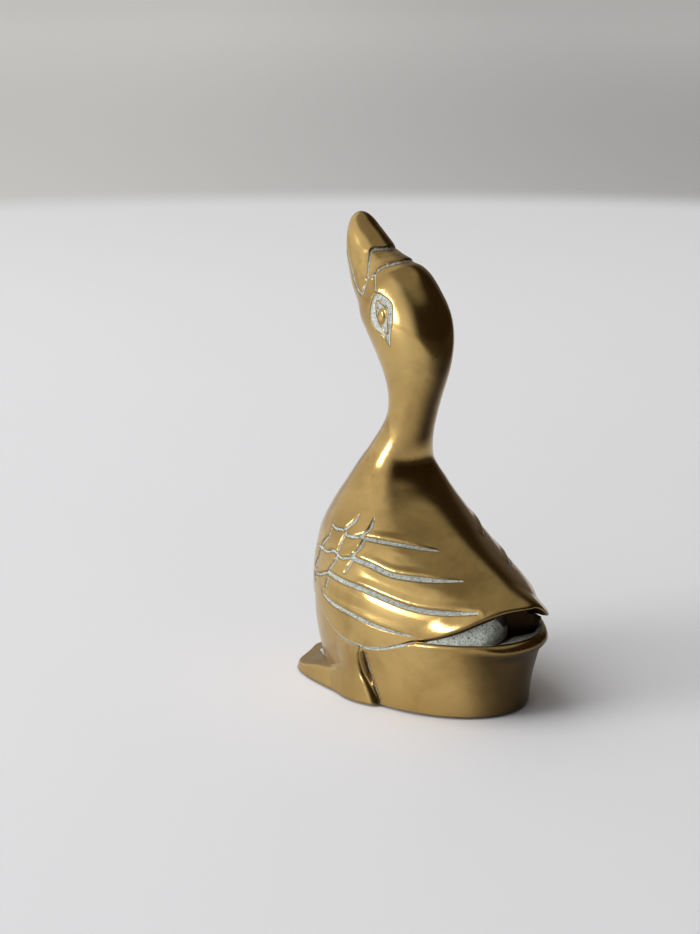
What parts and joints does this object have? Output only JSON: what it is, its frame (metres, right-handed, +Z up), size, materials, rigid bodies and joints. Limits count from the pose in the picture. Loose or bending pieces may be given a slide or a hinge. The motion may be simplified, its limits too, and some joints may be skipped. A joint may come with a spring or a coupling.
{
  "type": "brass duck figurine",
  "caption": "Small hollow cast brass duck looking up, wings folded in relief, standing on webbed feet and a padded flat base.",
  "frame": {"origin": "middle of the belly's flat underside, on the face of the pad that the duck stands on", "axes": "+Z up, -Y the way the breast and feet point, +X towards the duck's left side"},
  "size_m": [0.0352, 0.0495, 0.0876],
  "materials": {
    "cast_brass": "polished, with tarnish and pale residue in the cut lines",
    "braze_filler": "satin, slightly redder than the castings",
    "sheet_brass": "rolled, dull",
    "felt": "matte felt"
  },
  "bodies": {
    "root": {"upper_body_casting": "cast_brass", "lower_body_casting": "cast_brass", "head_and_neck_casting": "cast_brass", "neck_braze_ring": "braze_filler", "left_leg_and_foot": "cast_brass", "right_leg_and_foot": "cast_brass", "base_plate": "sheet_brass", "felt_pad": "felt"}
  },
  "joints": []
}
